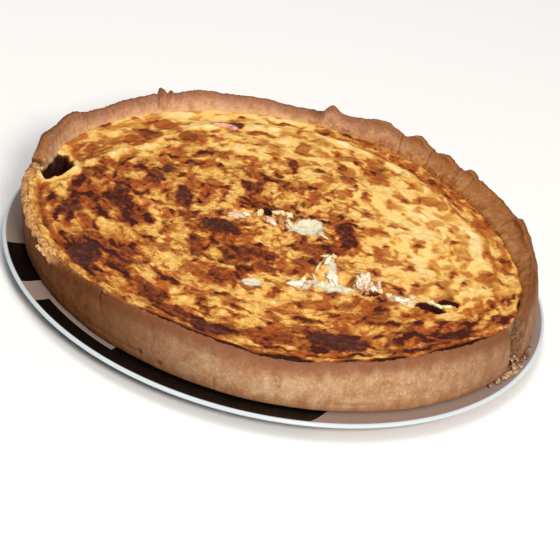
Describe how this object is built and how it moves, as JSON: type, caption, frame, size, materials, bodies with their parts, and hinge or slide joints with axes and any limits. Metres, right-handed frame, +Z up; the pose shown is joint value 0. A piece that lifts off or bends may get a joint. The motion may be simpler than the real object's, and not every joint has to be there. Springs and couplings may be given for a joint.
{
  "type": "quiche",
  "caption": "Whole round deep quiche with a thin upright crust, ragged rim with one broken stretch, and browned custard filling, on a flat round serving plate",
  "frame": {"origin": "centre of the plate's underside, on the surface the plate stands on", "axes": "+Z up out of the plate; -Y is the front, where the custard reaches the rim; +X is the side with the broken stretch of wall"},
  "size_m": [0.273, 0.273, 0.0364],
  "materials": {
    "plate": "white glazed porcelain with black fields round the rim",
    "crust": "matte floury baked shortcrust pastry, tan with darker edges",
    "filling": "golden baked custard with scorched brown blisters"
  },
  "bodies": {
    "root": {"plate": "plate", "crust": "crust", "filling": "filling"}
  },
  "joints": []
}
